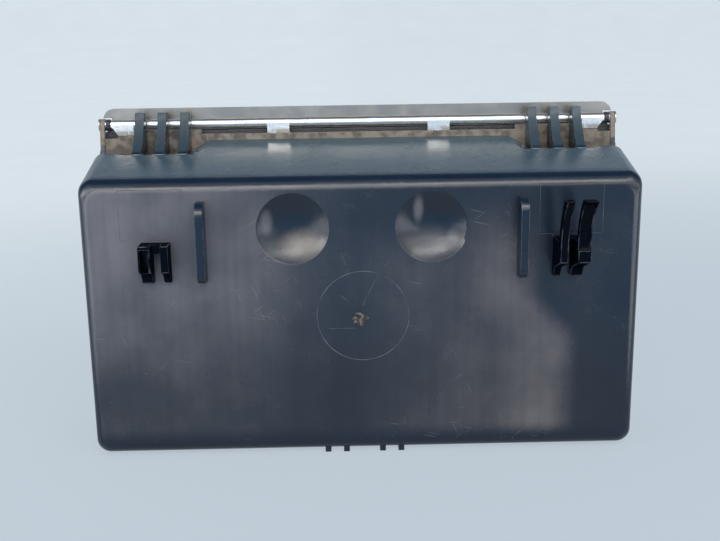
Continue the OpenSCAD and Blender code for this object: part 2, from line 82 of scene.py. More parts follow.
camera_yaw, camera_pitch, camera_roll = math.radians(1.017), math.radians(13.462), math.radians(-0.811)

aim = Vector((math.sin(camera_yaw) * math.cos(camera_pitch), math.cos(camera_yaw) * math.cos(camera_pitch),
              -math.sin(camera_pitch)))
level = Vector((math.cos(camera_yaw), -math.sin(camera_yaw), 0.0))
upright = level.cross(aim)
camera_x = math.cos(camera_roll) * level + math.sin(camera_roll) * upright
camera_y = math.cos(camera_roll) * upright - math.sin(camera_roll) * level

lens = bpy.data.cameras.new("camera")
lens.lens, lens.sensor_width, lens.sensor_fit = 50.0, 36.0, "AUTO"
lens.clip_start, lens.clip_end = 0.01, 20.0
camera = bpy.data.objects.new("camera", lens)
camera.matrix_world = Matrix((camera_x, camera_y, -aim)).transposed().to_4x4()
camera.location = camera_at
bpy.context.scene.collection.objects.link(camera)
bpy.context.scene.camera = camera


def image_ray(x, y):
    """Where the ray through an image point starts, and its direction."""
    across = (x - IMAGE_W / 2 + lens.shift_x * LONG_SIDE) * camera_x
    rise = (IMAGE_H / 2 - y + lens.shift_y * LONG_SIDE) * camera_y
    return camera_at, (across + rise + LONG_SIDE * lens.lens / lens.sensor_width * aim).normalized()


def image_of(point):
    """The image point of a place in the scene."""
    away = Vector(point) - camera_at
    scale = LONG_SIDE * lens.lens / lens.sensor_width / away.dot(aim)
    return (IMAGE_W / 2 - lens.shift_x * LONG_SIDE + scale * away.dot(camera_x),
            IMAGE_H / 2 + lens.shift_y * LONG_SIDE - scale * away.dot(camera_y))


def surface_of(piece):
    """A finished piece's surface, for rays."""
    return BVHTree.FromObject(piece, bpy.context.evaluated_depsgraph_get())


def placed(name, surface):
    """The place on a surface where an image point's ray meets it, or the nearest place to the ray."""
    start, direction = image_ray(*POINTS[name])
    place = surface.ray_cast(start, direction)[0]
    if place is None:
        steps = [start + direction * 0.005 * i for i in range(200)]
        place = min((surface.find_nearest(p) for p in steps), key=lambda found: found[3])[0]
    return place


# ---------------------------------------------------------------------------------------------------------------------
# Floor, light and background
# A pale bluish sheet lies under the object and runs up behind it. A long soft box in front and above lights it, and
# the world fills in. A mirror on the object sees a bright sky in front, a deep blue one overhead and a pale one behind.
# ---------------------------------------------------------------------------------------------------------------------
class Value:
    """A socket of a shader tree. Sums and products of it add Math nodes."""

    def __init__(self, finish, socket):
        self.finish, self.socket = finish, socket

    def combine(self, operation, *others):
        return self.finish.node("ShaderNodeMath", {"operation": operation}, dict(enumerate(others)))

    def __add__(self, other): return self.combine("ADD", self, other)
    def __radd__(self, other): return self.combine("ADD", other, self)
    def __sub__(self, other): return self.combine("SUBTRACT", self, other)
    def __rsub__(self, other): return self.combine("SUBTRACT", other, self)
    def __mul__(self, other): return self.combine("MULTIPLY", self, other)
    def __rmul__(self, other): return self.combine("MULTIPLY", other, self)
    def __truediv__(self, other): return self.combine("DIVIDE", self, other)
    def __abs__(self): return self.combine("ABSOLUTE", self)


class Finish:
    """A material or world under construction: its shader and the nodes that feed it."""

    def __init__(self, name, shader="ShaderNodeBsdfPrincipled", owner=None, output="ShaderNodeOutputMaterial", **fixed):
        self.owner = owner or bpy.data.materials.new(name)
        self.owner.use_nodes = True
        self.tree = self.owner.node_tree
        self.tree.nodes.clear()
        self.output = self.tree.nodes.new(output)
        self.shader = self.tree.nodes.new(shader)
        self.tree.links.new(self.shader.outputs[0], self.output.inputs["Surface"])
        for socket, value in fixed.items():
            self.shader.inputs[socket.replace("_", " ")].default_value = value

    def node(self, kind, settings=None, inputs=None, output=0):
        """Adds a node: its settings first, then the values or links of its sockets."""
        made = self.tree.nodes.new(kind)
        for key, value in (settings or {}).items():
            if key == "stops":
                self.stop_ramp(made.color_ramp, value)
            else:
                setattr(made, key, value)
        for key, value in (inputs or {}).items():
            self.feed(made.inputs[key], value)
        return Value(self, made.outputs[output])

    def feed(self, socket, value):
        if isinstance(value, Value):
            self.tree.links.new(value.socket, socket)
        else:
            socket.default_value = value

    def drive(self, **values):
        """Feeds sockets of the shader."""
        for socket, value in values.items():
            self.feed(self.shader.inputs[socket.replace("_", " ")], value)

    def stop_ramp(self, ramp, stops):
        while len(ramp.elements) < len(stops):
            ramp.elements.new(1.0)
        for element, (position, colour) in zip(ramp.elements, stops):
            element.position, element.color = position, colour

    def place(self):
        """Coordinates on the piece itself, in metres."""
        return self.node("ShaderNodeTexCoord", output="Object")

    def part_of(self, vector, which):
        """One coordinate of a vector."""
        return self.node("ShaderNodeSeparateXYZ", inputs={0: vector}, output="XYZ".index(which))

    def axes(self):
        """The three coordinates on the piece, in millimetres."""
        where = self.place()
        return [self.part_of(where, which) / MM for which in "XYZ"]

    def upward(self):
        """1 on surfaces that look up and 0 on those that don't."""
        return self.ramp(self.part_of(self.node("ShaderNodeTexCoord", output="Normal"), "Z"), 0.2, 0.85)

    def edges(self):
        """1 on rounded edges and 0 on the faces between them."""
        return self.node("ShaderNodeAttribute", {"attribute_name": "edge"}, output="Fac")

    def along(self, sizes, turn=(0.0, 0.0, 0.0)):
        """Coordinates for a pattern with features of these sizes in millimetres, turned by these angles in degrees."""
        return self.node("ShaderNodeMapping", {"vector_type": "TEXTURE"},
                         {"Vector": self.place(), "Scale": [size * MM for size in sizes],
                          "Rotation": [math.radians(angle) for angle in turn]})

    def noise(self, size, detail=2.0, rough=0.5):
        """Noise from 0 to 1 with features of a size in millimetres."""
        return self.node("ShaderNodeTexNoise", inputs={"Vector": self.place(), "Scale": 1 / (size * MM),
                                                       "Detail": detail, "Roughness": rough})

    def streaks(self, sizes, turn=(0.0, 0.0, 0.0), detail=1.0):
        """Noise drawn out in one direction."""
        return self.node("ShaderNodeTexNoise", inputs={"Vector": self.along(sizes, turn), "Scale": 1.0,
                                                       "Detail": detail})

    def specks(self, spacing, radius):
        """Small round spots of a radius, this far apart, both in millimetres."""
        far = self.node("ShaderNodeTexVoronoi", inputs={"Vector": self.place(), "Scale": 1 / (spacing * MM)})
        return self.ramp(far, radius / spacing, 0.5 * radius / spacing)

    def ramp(self, value, low, high, start=0.0, end=1.0):
        """start up to low, end beyond high, and smooth between them."""
        if low > high:
            low, high, start, end = high, low, end, start
        return self.node("ShaderNodeMapRange", {"interpolation_type": "SMOOTHSTEP", "clamp": True},
                         {"Value": value, "From Min": low, "From Max": high, "To Min": start, "To Max": end})

    def band(self, value, middle, half, soft):
        """1 within half of a middle, and 0 beyond half and soft."""
        return self.ramp(abs(value - middle), half + soft, half)

    def mix(self, mask, first, second):
        """The first colour where the mask is 0 and the second where it is 1."""
        return self.node("ShaderNodeMix", {"data_type": "RGBA"}, {"Factor": mask, 6: first, 7: second}, 2)

    def bump(self, height, depth, under=None):
        """A bump of a height pattern, depth in millimetres at 1, over an earlier bump."""
        inputs = {"Height": height, "Distance": depth * MM, "Strength": 1.0}
        if under is not None:
            inputs["Normal"] = under
        return self.node("ShaderNodeBump", inputs=inputs)


BACKGROUND_FAR, BACKGROUND_NEAR = (0.85, 0.94, 1.0, 1.0), (0.570, 0.650, 0.735, 1.0)
GLARE = (0.80, 0.82, 0.86, 1.0)
BLUE_FRONT = (0.40, 0.66, 0.98, 1.0)
SIDE_GLARE = 3.5
SHEET = (0.60, 0.66, 0.70, 1.0)
SHEET_HALF = 4.0
SHEET_BACK = 3.0
SHEET_RISE = 1.0
GLOW_SHARE = 0.75


def ray_is(finish, kind):
    """1 for rays of one kind and 0 for others."""
    return Value(finish, finish.tree.nodes.new("ShaderNodeLightPath").outputs[f"Is {kind} Ray"])


def seen_directly(finish):
    """1 for rays from the camera and for those that a mirror or glass passes on."""
    mirrored = ray_is(finish, "Glossy").combine("MAXIMUM", ray_is(finish, "Glossy"), ray_is(finish, "Transmission"))
    return mirrored.combine("MAXIMUM", mirrored, ray_is(finish, "Camera"))


def sheet_finish():
    finish = Finish("pale_sheet", Base_Color=SHEET, Roughness=0.9)
    x, y, _ = finish.axes()
    # Painted shading on the sheet: darker near the object and in front, paler far behind and to the left, with darker
    # blotches.
    far = finish.ramp(y, -60, 700, 0.0, 0.8) + finish.ramp(x, 100, -250, 0.0, 0.3)
    tone = finish.mix(finish.ramp(far, 0.0, 1.0), BACKGROUND_NEAR, BACKGROUND_FAR)
    tone = finish.mix(finish.noise(90, 3) * 0.25, tone, BACKGROUND_NEAR)
    # Painted light for mirrors: the sheet turns blue in front of the object and glares at both sides in front of it.
    mirrored = ray_is(finish, "Glossy")
    tone = finish.mix(finish.ramp(y, -60, -160) * mirrored, tone, BLUE_FRONT)
    beside = finish.ramp(abs(x) + 0.45 * y, 78, 100) * finish.ramp(y, -25, -50) * mirrored
    tone = finish.mix(beside, tone, GLARE)
    # The sheet glows for the camera and in mirrors, like a lamp.
    glow = finish.node("ShaderNodeEmission", inputs={"Color": tone, "Strength": 1 + SIDE_GLARE * beside})
    shaded = Value(finish, finish.shader.outputs[0])
    both = finish.node("ShaderNodeMixShader", inputs={0: seen_directly(finish) * GLOW_SHARE, 1: shaded, 2: glow})
    finish.feed(finish.output.inputs["Surface"], both)
    return finish.owner


profile = [(-SHEET_HALF, 0.0), (SHEET_BACK, 0.0)]
profile += [(SHEET_BACK + SHEET_RISE * math.sin(a), SHEET_RISE * (1 - math.cos(a)))
            for a in np.linspace(0.1, math.pi / 3, 12)]
sheet_mesh = bpy.data.meshes.new("pale_sheet")
sheet_mesh.from_pydata([(x, y, z) for y, z in profile for x in (-SHEET_HALF, SHEET_HALF)], [],
                       [(2 * i, 2 * i + 1, 2 * i + 3, 2 * i + 2) for i in range(len(profile) - 1)])
sheet_mesh.shade_smooth()
sheet_mesh.materials.append(sheet_finish())
sheet = bpy.data.objects.new("pale_sheet", sheet_mesh)
bpy.context.scene.collection.objects.link(sheet)
sheet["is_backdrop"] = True

world = bpy.data.worlds.new("sky")
bpy.context.scene.world = world
sky = Finish("sky", "ShaderNodeBackground", world, "ShaderNodeOutputWorld")
direction = sky.node("ShaderNodeTexCoord", output="Generated")
over = sky.part_of(direction, "Z").combine("ARCTAN2", sky.part_of(direction, "Z"), sky.part_of(direction, "Y") * -1.0)
arch = sky.node("ShaderNodeValToRGB", {"stops": [
    (0.00, (0.60, 0.67, 0.74, 1.0)), (0.08, (0.93, 0.92, 0.90, 1.0)), (0.20, (1.0, 0.98, 0.95, 1.0)),
    (0.34, (0.85, 0.92, 1.0, 1.0)), (0.46, (0.10, 0.17, 0.31, 1.0)), (0.74, (0.12, 0.20, 0.34, 1.0)),
    (0.82, (0.62, 0.70, 0.80, 1.0)), (1.00, (0.62, 0.69, 0.76, 1.0))]}, {"Fac": over / math.pi})
in_front = sky.ramp(over, 0.16, 0.26) * sky.ramp(over, 0.85, 0.65)
glare = in_front * sky.ramp(sky.part_of(direction, "X"), 0.5, -0.5, 1.2, 4.0)
sky.drive(Color=sky.mix(seen_directly(sky), (0.80, 0.87, 0.95, 1.0), arch),
          Strength=sky.ramp(seen_directly(sky), 0.0, 1.0, 0.5, 1.15) + ray_is(sky, "Glossy") * glare)


def soft_box(name, place, size, power, tint):
    """A rectangular area lamp that looks at the object and isn't seen by the camera."""
    lamp = bpy.data.lights.new(name, "AREA")
    lamp.shape, lamp.size, lamp.size_y = "RECTANGLE", *size
    lamp.energy, lamp.color = power, tint
    box = bpy.data.objects.new(name, lamp)
    box.location = place
    box.rotation_euler = (Vector((0.0, 0.0, 0.05)) - Vector(place)).to_track_quat("-Z", "Y").to_euler()
    box.visible_camera = False
    bpy.context.scene.collection.objects.link(box)


soft_box("front_light", (0.12, -0.45, 0.44), (0.75, 0.16), 1.5, (1.0, 0.97, 0.93))
soft_box("left_light", (-0.5, -0.25, 0.20), (0.12, 0.25), 0.35, (0.95, 0.97, 1.0))


# ---------------------------------------------------------------------------------------------------------------------
# Tub
# One injection moulding in glossy blue-black plastic. Its back face has two dimples, guide ribs, a hook and the stub of
# a broken one. It is dusty round the rim, paler in broad patches and scratched on the face, and grey with ash inside.
# Painted light: a bluish reflection on the top wall and fins, highlights in the dimples, and shade on the hook, the
# broken stub and under the ear tops.
# ---------------------------------------------------------------------------------------------------------------------
LEAST_WIDTH = 0.02
MERGE_WITHIN = 0.002
FLAT_WITHIN, ROUNDED_FROM, CREASED_FROM = math.radians(0.3), math.radians(30), math.radians(25)


def merged_copy(node, name, spared, mend):
    """A copy of a CAD node's mesh with its loose triangles joined and its sharp outer edges marked for rounding."""
    mesh = bpy.data.meshes.new(name)
    shape = bmesh.new()
    shape.from_mesh(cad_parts[node].data)
    bmesh.ops.remove_doubles(shape, verts=shape.verts, dist=MERGE_WITHIN * MM)
    if mend:
        mend(shape)
    else:
        bmesh.ops.dissolve_limit(shape, angle_limit=FLAT_WITHIN, verts=shape.verts, edges=shape.edges)
    shape.normal_update()
    weight = shape.edges.layers.float.new("bevel_weight_edge")
    for edge in shape.edges:
        sides = edge.link_faces
        if len(sides) == 2 and edge.is_convex and not spared(edge):
            widths = [2 * side.calc_area() / max(e.calc_length() for e in side.edges) for side in sides]
            if min(widths) > LEAST_WIDTH * MM and sides[0].normal.angle(sides[1].normal) > ROUNDED_FROM:
                edge[weight] = 1.0
    shape.to_mesh(mesh)
    shape.free()
    piece = bpy.data.objects.new(name, mesh)
    bpy.context.scene.collection.objects.link(piece)
    return piece


def evaluated(piece):
    """The piece with its modifiers applied, as a plain mesh."""
    mesh = bpy.data.meshes.new_from_object(piece.evaluated_get(bpy.context.evaluated_depsgraph_get()))
    piece.modifiers.clear()
    piece.data = mesh
    return piece


def join_in(piece, body, material):
    """Gives a piece its finish and its place among the bodies."""
    piece.data.materials.clear()
    piece.data.materials.append(material)
    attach(piece, body)
    return piece


def dressed(node, name, body, material, edge, spared=lambda edge: False, mend=None):
    """A CAD node's shape with rounded edges, except the spared ones, which then stands for that node."""
    piece = merged_copy(node, name, spared, mend)
    piece.data.materials.clear()
    for index in range(2):
        piece.data.materials.append(material)
    bevel = piece.modifiers.new("rounding", "BEVEL")
    bevel.width, bevel.segments, bevel.limit_method = edge * MM, 2, "WEIGHT"
    bevel.use_clamp_overlap, bevel.miter_outer, bevel.material = False, "MITER_ARC", 1
    evaluated(piece)
    faces = len(piece.data.polygons)
    rounded = np.zeros(faces, np.int32)
    piece.data.polygons.foreach_get("material_index", rounded)
    piece.data.attributes.new("edge", "FLOAT", "FACE").data.foreach_set("value", rounded.astype(np.float32))
    piece.data.polygons.foreach_set("material_index", np.zeros(faces, np.int32))
    piece.data.shade_smooth()
    piece.data.set_sharp_from_angle(angle=CREASED_FROM)
    flat = piece.modifiers.new("flat_faces", "WEIGHTED_NORMAL")
    flat.keep_sharp, flat.weight = True, 100
    evaluated(piece)
    join_in(piece, body, material)
    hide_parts(node)
    return piece


FACE_Y = BACK_Y / MM
FACE_TOP = 68.5
WALL_RISE = 7.3 / 28
RIM_Y = 17.0
DOMES = (16.5, 57.0, 9.4)
# Bluish tint painted on the top wall and the fins as a reflection of the sky.
PAINTED_REFLECTION_BLUE = (0.19, 0.29, 0.33, 1.0)
BLACK = (0.0035, 0.013, 0.030, 1.0)
PALE_GREY, WARM_GREY = (0.31, 0.30, 0.33, 1.0), (0.33, 0.30, 0.305, 1.0)
DUST, DARK_DUST = (0.36, 0.31, 0.255, 1.0), (0.19, 0.16, 0.13, 1.0)
ASH, SOOT = (0.17, 0.165, 0.16, 1.0), (0.05, 0.047, 0.045, 1.0)
WORN = (0.16, 0.18, 0.21, 1.0)
# Painted highlights: soft pale spots in the two dimples, as x, z, half width, half height, strength and tint.
PAINTED_DIMPLE_HIGHLIGHTS = ((-22.6, 58.4, 2.0, 4.2, 0.45, PALE_GREY), (-13.8, 52.6, 7.2, 5.2, 0.45, (0.42, 0.38, 0.34, 1.0)),
               (13.4, 61.0, 1.7, 4.6, 0.55, PALE_GREY), (16.0, 52.5, 8.0, 6.0, 0.22, PALE_GREY),
               (21.6, 54.2, 2.0, 2.2, 0.35, PALE_GREY))
# Near-black without gloss, painted over the hook and the broken stub as their shade.
HOOK_SHADE_BLACK = (0.0015, 0.0025, 0.006, 1.0)


def moulding():
    finish = Finish("blue_black_moulding", IOR=1.5, Specular_IOR_Level=0.5)
    x, y, z = finish.axes()
    cloud, fine = finish.noise(14, 4, 0.55), finish.noise(2.2, 3, 0.6)

    on_face = finish.band(y, FACE_Y, 0.12, 0.1)
    # The face is paler towards the upper left and in a wedge at the right, with faint streaks, fading at the bottom and
    # right end.
    left = finish.ramp(x, 0, -42) * finish.ramp(z, 10, 56, 0.2, 1.0)
    across = x + finish.ramp(z, 28, 42, 0.0, 9.0)
    wedge = (finish.ramp(across, -10, 30, 0.0, 0.42) + finish.ramp(across, 30, 42, 0.0, 0.58)) * \
        finish.ramp(across, 53, 45) * finish.ramp(z, 64, 44)
    fall = finish.ramp(finish.streaks((2.2, 9, 45)), 0.3, 0.7, 0.92, 1.07)
    face_pallor = (left * 0.48 + wedge * 0.38 + 0.04) * finish.ramp(cloud, 0.25, 0.75, 0.7, 1.2) * fall
    face_pallor = face_pallor * finish.ramp(z, 3.5, 8) * finish.ramp(x, 62, 52, 0.4, 1.0)
    colour = finish.mix(on_face * face_pallor, BLACK, finish.mix(finish.ramp(x, 10, 30), PALE_GREY, WARM_GREY))

    hair = [finish.ramp(finish.streaks((9, 9, 0.35), (0, angle, 0)), 0.70, 0.74) for angle in (12, -38, 67)]
    scratched = (hair[0] + hair[1] + hair[2]) * finish.ramp(cloud, 0.5, 0.62)
    specked = finish.specks(2.6, 0.16) * finish.ramp(finish.noise(26, 2), 0.5, 0.62)
    colour = finish.mix(on_face * finish.ramp(scratched + specked, 0.0, 1.0) * 0.4, colour, PALE_GREY)

    wall_z = FACE_TOP + (y - FACE_Y) * WALL_RISE
    # Painted reflection: a bluish tint on the top wall, stronger towards the rim.
    on_wall = finish.band(z, wall_z, 0.15, 0.15) * finish.ramp(y, -7.2, -4.5)
    colour = finish.mix(on_wall * (0.24 + 0.15 * finish.ramp(y, -4, 16) + 0.07 * fine), colour, PAINTED_REFLECTION_BLUE)
    rim = finish.ramp(y, RIM_Y - 0.1, RIM_Y) * finish.ramp(y, 18.9, 18.6) * finish.ramp(z, 71.5, 72.2)
    floor = finish.ramp(wall_z - z, 0.2, 0.5) * finish.upward() * finish.ramp(y, 6.6, 7.0)
    # Dust on the ear tops and below, left out in a band round z 78 where the bare black stands as painted shade.
    ears = finish.ramp(abs(x), 64.6, 64.9) * finish.ramp(z, 74.0, 75.0) * (1 - finish.band(z, 78.0, 1.2, 0.5))
    settled = finish.ramp(rim + floor + ears, 0.0, 1.0) * finish.ramp(fine, 0.2, 0.55, 0.6, 1.0)
    colour = finish.mix(settled, colour, finish.mix(finish.ramp(fine, 0.35, 0.6), DARK_DUST, DUST))
    # Painted reflection: the same bluish tint on the fins and pockets above the wall.
    fins = finish.ramp(z - wall_z, 0.3, 0.8) * finish.ramp(y, RIM_Y, RIM_Y - 0.1) * finish.ramp(abs(x), 64.8, 64.5)
    colour = finish.mix(fins * 0.22, colour, PAINTED_REFLECTION_BLUE)
    wear = finish.edges() * finish.ramp(finish.noise(3.5, 3, 0.6), 0.38, 0.62)
    colour = finish.mix(wear * 0.35, colour, WORN)

    # Painted highlights in the dimples.
    for middle_x, middle_z, half_x, half_z, strength, tint in PAINTED_DIMPLE_HIGHLIGHTS:
        away = finish.node("ShaderNodeVectorMath", {"operation": "LENGTH"}, {0: finish.node(
            "ShaderNodeCombineXYZ", inputs={0: (x - middle_x) / half_x, 1: (z - middle_z) / half_z, 2: 0.0})}, "Value")
        hollow = finish.ramp(y, FACE_Y + 0.05, FACE_Y + 0.15) * finish.ramp(y, FACE_Y + 3.2, FACE_Y + 3.1)
        colour = finish.mix(hollow * finish.ramp(away, 1.0, 0.2) * (strength * (0.7 + 0.6 * fine)), colour, tint)

    from_dome = finish.node("ShaderNodeVectorMath", {"operation": "LENGTH"}, {0: finish.node(
        "ShaderNodeCombineXYZ", inputs={0: abs(x) - DOMES[0], 1: z - DOMES[1], 2: 0.0})}, "Value")
    behind_domes = finish.ramp(from_dome, DOMES[2], DOMES[2] + 0.3) * finish.ramp(y, FACE_Y + 2.0, FACE_Y + 2.1)
    inside = (finish.ramp(abs(x), 64.6, 64.4) * finish.ramp(y, FACE_Y + 1.9, FACE_Y + 2.1) *
              finish.ramp(z - (y - FACE_Y) * -0.0214, 2.9, 3.1) * finish.ramp(wall_z - z, 1.9, 2.1))
    deep = finish.ramp(y, FACE_Y + 3.2, FACE_Y + 3.4)
    inside = inside * finish.ramp(behind_domes + deep, 0.0, 1.0)
    ashy = inside * finish.ramp(finish.noise(9, 5, 0.65), 0.3, 0.7)
    colour = finish.mix(ashy, colour, finish.mix(finish.ramp(fine, 0.4, 0.6), ASH, SOOT))

    dull = finish.ramp(settled + ashy, 0.0, 1.0)
    smooth = finish.ramp(cloud, 0.3, 0.7, 0.20, 0.30) + finish.ramp(on_face * face_pallor, 0.05, 0.4, 0.0, 0.12)
    finish.drive(Base_Color=colour, Roughness=smooth + dull * 0.5,
                 Normal=finish.bump(fine, 0.06, finish.bump(finish.noise(0.9, 2), 0.008)))
    # Painted shade: the hook and the broken stub are mostly a dull near-black that hides their reflections; worn edges
    # keep the gloss.
    hooks = finish.ramp(y, FACE_Y - 0.3, FACE_Y - 0.8) * finish.ramp(abs(x), 43.0, 43.6)
    painted_shade = finish.node("ShaderNodeBsdfDiffuse", inputs={"Color": HOOK_SHADE_BLACK})
    both = finish.node("ShaderNodeMixShader", inputs={0: hooks * (0.9 - wear * 0.8),
                                                      1: Value(finish, finish.shader.outputs[0]), 2: painted_shade})
    finish.feed(finish.output.inputs["Surface"], both)
    return finish.owner


def on_broad_side(edge):
    """True for edges that lie in the back face or in the sloping top wall."""
    places = [vertex.co / MM for vertex in edge.verts]
    return (all(abs(place.y - FACE_Y) < 0.03 for place in places) or
            all(abs(place.z - FACE_TOP - (place.y - FACE_Y) * WALL_RISE) < 0.03 for place in places))


DIMPLE_R, DIMPLE_DEPTH, DIMPLE_RINGS = 8.7, 3.0, 14
ROUND_THE_RIM = 0.3


def smooth_dimples(shape):
    """Joins the back face's flat triangles and redraws the two dimples as smooth dishes on their own rims."""
    ball = (DIMPLE_R ** 2 + DIMPLE_DEPTH ** 2) / (2 * DIMPLE_DEPTH)
    in_face = [edge for edge in shape.edges if len(edge.link_faces) == 2 and all(
        all(abs(v.co.y / MM - FACE_Y) < 0.01 for v in side.verts) for side in edge.link_faces)]
    bmesh.ops.dissolve_limit(shape, angle_limit=math.radians(1), verts=[], edges=in_face)
    for middle_x in (-DOMES[0], DOMES[0]):
        def away(vertex):
            return math.hypot(vertex.co.x / MM - middle_x, vertex.co.z / MM - DOMES[1])

        def angle(vertex):
            return math.atan2(vertex.co.z / MM - DOMES[1], vertex.co.x / MM - middle_x)

        dish = [side for side in shape.faces if all(away(v) < DIMPLE_R + ROUND_THE_RIM for v in side.verts) and
                max(v.co.y / MM for v in side.verts) - FACE_Y < DIMPLE_DEPTH + 0.1 and
                (side.normal.y > -0.99 or side.calc_center_median().y / MM - FACE_Y > 0.02)]
        bmesh.ops.delete(shape, geom=dish, context="FACES")
        rim = {v for e in shape.edges if e.is_boundary for v in e.verts if away(v) < DIMPLE_R + ROUND_THE_RIM}
        rim = sorted(rim, key=angle)
        turns = [angle(vertex) for vertex in rim]
        rings = [rim]
        for ring in range(DIMPLE_RINGS):
            radius = DIMPLE_R * (1 - ring / DIMPLE_RINGS)
            y = FACE_Y + DIMPLE_DEPTH - ball + math.sqrt(ball ** 2 - radius ** 2)
            places = [Vector((middle_x + radius * math.cos(t), y, DOMES[1] + radius * math.sin(t))) * MM for t in turns]
            if ring:
                rings.append([shape.verts.new(place) for place in places])
            else:
                for vertex, place in zip(rim, places):
                    vertex.co = place
        bottom = shape.verts.new(Vector((middle_x, FACE_Y + DIMPLE_DEPTH, DOMES[1])) * MM)
        for outer, inner in zip(rings, rings[1:]):
            for i in range(len(rim)):
                shape.faces.new((outer[i - 1], outer[i], inner[i], inner[i - 1]))
        for i in range(len(rim)):
            shape.faces.new((rings[-1][i - 1], rings[-1][i], bottom))
    shape.normal_update()


plastic = moulding()
tub = dressed("tub", "tub_moulding", "housing", plastic, 0.2, on_broad_side, smooth_dimples)
face = surface_of(tub)


# ---------------------------------------------------------------------------------------------------------------------
# Mould lines
# Thin raised lines that the mould's gate insert and the inserts round the hooks left on the back face, and the rough
# stub of the gate in the middle of its ring. They catch pale dust.
# ---------------------------------------------------------------------------------------------------------------------
RING_R = 11.05
LINE_R = 0.09
INSERT_W, INSERT_H = 15.0, 12.0


def line_tree():
    """Geometry Nodes that turn a mesh's edges into round beads of one radius and one material."""
    tree = bpy.data.node_groups.new("mould_line", "GeometryNodeTree")
    for name, kind in (("Edges", "NodeSocketGeometry"), ("Bead radius", "NodeSocketFloat"),
                       ("Finish", "NodeSocketMaterial")):
        tree.interface.new_socket(name, in_out="INPUT", socket_type=kind)
    tree.interface.new_socket("Beads", in_out="OUTPUT", socket_type="NodeSocketGeometry")
    kinds = ("NodeGroupInput", "GeometryNodeMeshToCurve", "GeometryNodeCurvePrimitiveCircle", "GeometryNodeCurveToMesh",
             "GeometryNodeRealizeInstances", "GeometryNodeSetMaterial", "NodeGroupOutput")
    given, curve, ring, bead, real, painted, out = (tree.nodes.new(kind) for kind in kinds)
    ring.inputs["Resolution"].default_value = 8
    bead.inputs["Fill Caps"].default_value = True
    for source, target in ((given.outputs["Edges"], curve.inputs["Mesh"]),
                           (given.outputs["Bead radius"], ring.inputs["Radius"]),
                           (curve.outputs["Curve"], bead.inputs["Curve"]),
                           (ring.outputs["Curve"], bead.inputs["Profile Curve"]),
                           (bead.outputs["Mesh"], real.inputs["Geometry"]),
                           (real.outputs["Geometry"], painted.inputs["Geometry"]),
                           (given.outputs["Finish"], painted.inputs["Material"]),
                           (painted.outputs["Geometry"], out.inputs["Beads"])):
        tree.links.new(source, target)
    return tree


def beads(name, lines, radius, material):
    """Beads along closed or open lines of points, finished as one piece."""
    points = [p for line, closed in lines for p in line]
    joined, first = [], 0
    for line, closed in lines:
        joined += [(first + i, first + i + 1) for i in range(len(line) - 1)]
        joined += [(first + len(line) - 1, first)] if closed else []
        first += len(line)
    mesh = bpy.data.meshes.new(name)
    mesh.from_pydata(points, joined, [])
    piece = bpy.data.objects.new(name, mesh)
    bpy.context.scene.collection.objects.link(piece)
    nodes = piece.modifiers.new("beads", "NODES")
    nodes.node_group = mould_lines
    for item in mould_lines.interface.items_tree:
        if item.in_out == "INPUT" and item.name in ("Bead radius", "Finish"):
            nodes[item.identifier] = radius * MM if item.name == "Bead radius" else material
    evaluated(piece)
    piece.data.shade_smooth()
    return join_in(piece, "housing", material)


def dusty_line():
    finish = Finish("dusty_line", Roughness=0.55)
    broken = finish.ramp(finish.noise(5, 3), 0.35, 0.62)
    finish.drive(Base_Color=finish.mix(broken, (0.028, 0.036, 0.055, 1.0), (0.17, 0.185, 0.205, 1.0)))
    return finish.owner


mould_lines = line_tree()
ring_at = placed("gate_ring", face)
angles = np.linspace(0.0, math.tau, 97)[:-1]
ring_points = [(ring_at.x + RING_R * MM * math.cos(a), BACK_Y, ring_at.z + RING_R * MM * math.sin(a)) for a in angles]
gate_ring = beads("gate_ring_line", [(ring_points, True)], LINE_R, dusty_line())


def frame_lines(side):
    """The closed outline of a mould insert: for 1 where the photograph shows the left one, for -1 its mirror image."""
    middle = placed("insert_outline_left", face)
    x0, x1 = (middle.x - INSERT_W / 2 * MM) * side, (middle.x + INSERT_W / 2 * MM) * side
    z0, z1 = middle.z - INSERT_H / 2 * MM, middle.z + INSERT_H / 2 * MM
    return [(x0, BACK_Y, z0), (x0, BACK_Y, z1), (x1, BACK_Y, z1), (x1, BACK_Y, z0)], True


GATE_HAIRS = (((-8.2, -3.0), (-1.9, -3.0)), ((-5.3, 5.2), (-2.4, 2.7)), ((0.0, 2.7), (3.1, 9.0)))
GATE_STUB = (-0.4, -0.6)
STUB_SIZE = (2.2, 0.7, 2.0)
hairs = [([(ring_at.x + dx * MM, BACK_Y, ring_at.z + dz * MM) for dx, dz in ends], False) for ends in GATE_HAIRS]
beads("gate_hairlines", hairs, 0.06, dusty_line())


